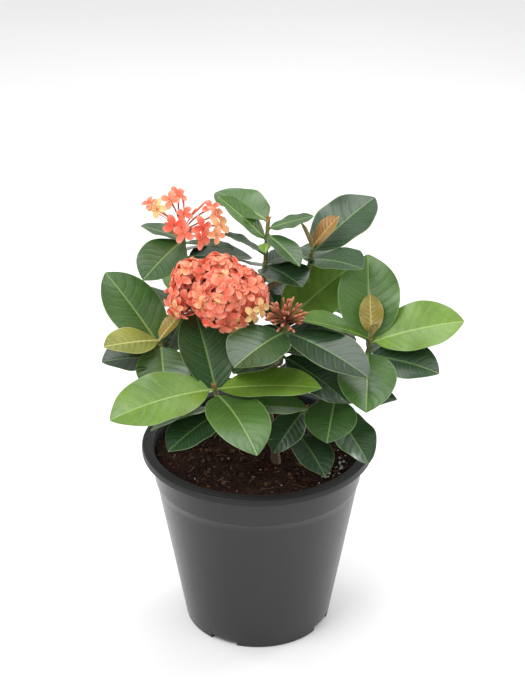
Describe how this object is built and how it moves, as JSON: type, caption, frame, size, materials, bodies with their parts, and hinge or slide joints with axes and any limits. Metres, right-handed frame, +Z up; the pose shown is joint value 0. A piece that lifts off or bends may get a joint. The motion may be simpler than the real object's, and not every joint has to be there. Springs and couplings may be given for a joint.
{
  "type": "potted ixora",
  "caption": "Flowering ixora house plant in a dark grower pot, with glossy paired leaves, a coral flower head, an open cluster and a bud cluster.",
  "frame": {"origin": "middle of the pot's flat underside, on the surface that the pot stands on", "axes": "+Z up along the pot's axis, -Y towards the front with the main flower head, +X to the right seen from the front"},
  "size_m": [0.3024, 0.2701, 0.3904],
  "materials": {
    "pot": "satin moulded dark grey",
    "soil": "moist peat and coco fibre",
    "bark": "thin rough bark",
    "leaf": "glossy leathery leaf",
    "young_leaf": "glossy bronze young leaf",
    "petal": "soft waxy petal",
    "bud": "smooth russet bud"
  },
  "bodies": {
    "root": {"pot": "pot", "soil": "soil", "woody_stems": "bark", "shoot_front_left": "leaf", "shoot_left": "leaf", "shoot_flower": "leaf", "shoot_buds": "leaf", "shoot_middle": "leaf", "shoot_right": "leaf", "shoot_top_right": "leaf", "shoot_top": "leaf", "shoot_top_left": "leaf", "shoot_low_right": "leaf", "shoot_low_front": "leaf", "shoot_rear_left": "leaf", "shoot_rear_right": "leaf", "shoot_rear_low": "leaf", "young_leaves_left": "young_leaf", "young_leaves_right": "young_leaf", "young_leaves_top_right": "young_leaf", "flower_head": "petal", "flower_cluster": "petal", "bud_cluster": "bud"}
  },
  "joints": []
}
